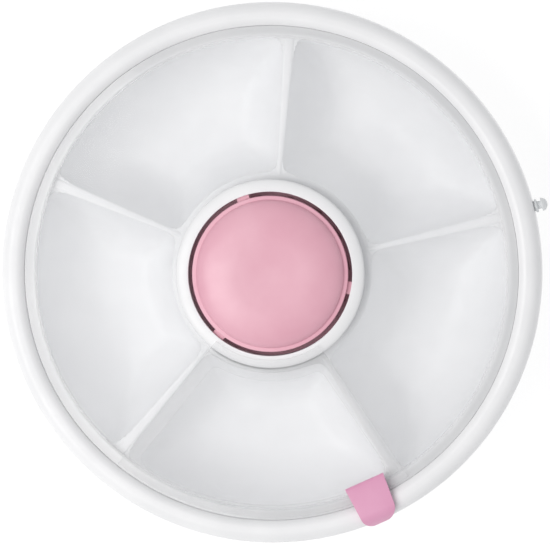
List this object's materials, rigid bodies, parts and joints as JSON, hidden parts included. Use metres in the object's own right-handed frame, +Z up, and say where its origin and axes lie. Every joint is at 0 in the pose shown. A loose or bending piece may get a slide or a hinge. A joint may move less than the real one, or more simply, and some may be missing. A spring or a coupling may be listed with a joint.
{
  "type": "travel pill organizer",
  "caption": "Round travel pill organizer: bowl compartments in a turning tray under a clear cover, a sliding sector door with a finger tab, and a push button that steps the tray.",
  "frame": {"origin": "on the surface that the feet stand on, under the button's axis", "axes": "+Z up along the axis of the button and the tray; the door faces -Y; the rim peg is near +X"},
  "size_m": [0.1212, 0.12, 0.0305],
  "materials": {
    "white_plastic": "satin moulded",
    "tray_plastic": "satin moulded",
    "clear_plastic": "clear polished",
    "pink_plastic": "satin moulded",
    "tab_pink_plastic": "satin moulded",
    "peg_plastic": "translucent moulded",
    "silicone": "soft",
    "rubber": "matte",
    "acetal": "waxy moulded",
    "steel": "plain"
  },
  "bodies": {
    "base": {"base_shell": "white_plastic", "bottom_cover": "white_plastic", "cover_screw_1": "steel", "cover_screw_2": "steel", "cover_screw_3": "steel", "post_screw": "steel", "foot_1": "rubber", "foot_2": "rubber", "foot_3": "rubber", "foot_4": "rubber", "rim_peg": "peg_plastic", "center_post": "acetal", "retaining_clip": "steel", "return_spring": "steel", "detent_spring": "steel"},
    "button": {"button_cap": "pink_plastic", "plunger": "acetal"},
    "drive": {"drive_sleeve": "acetal", "pawl_ring": "acetal"},
    "tray": {"compartment_tray": "tray_plastic", "ratchet_ring": "pink_plastic", "tray_glide_ring": "acetal"},
    "lid": {"lid_panel": "clear_plastic", "hub_collar": "white_plastic", "lid_seal": "silicone"},
    "door": {"sliding_door": "clear_plastic", "door_tab": "tab_pink_plastic"}
  },
  "joints": [
    {"name": "button_press", "type": "slide", "parent": "base", "child": "button", "axis": [0, 0, -1], "range_m": [0, 0.005], "stiffness_N_per_m": 300, "springref_m": -0.003, "deforming": ["return_spring"]},
    {"name": "drive_turn", "type": "hinge", "parent": "base", "child": "drive", "pos_m": [0, 0, 0.0045], "axis": [0, 0, 1], "range_deg": [0, 72.5]},
    {"name": "tray_spin", "type": "hinge", "parent": "base", "child": "tray", "pos_m": [0, 0, 0.0045], "axis": [0, 0, 1], "continuous": true},
    {"name": "lid_lift", "type": "slide", "parent": "base", "child": "lid", "axis": [0, 0, 1], "range_m": [0, 0.04]},
    {"name": "door_slide", "type": "hinge", "parent": "lid", "child": "door", "pos_m": [0, 0, 0.025], "axis": [0, 0, -1], "range_deg": [0, 73]}
  ],
  "couplings": [
    {"joint": "drive_turn", "follows": "button_press", "rad_per_m": 251.33}
  ]
}
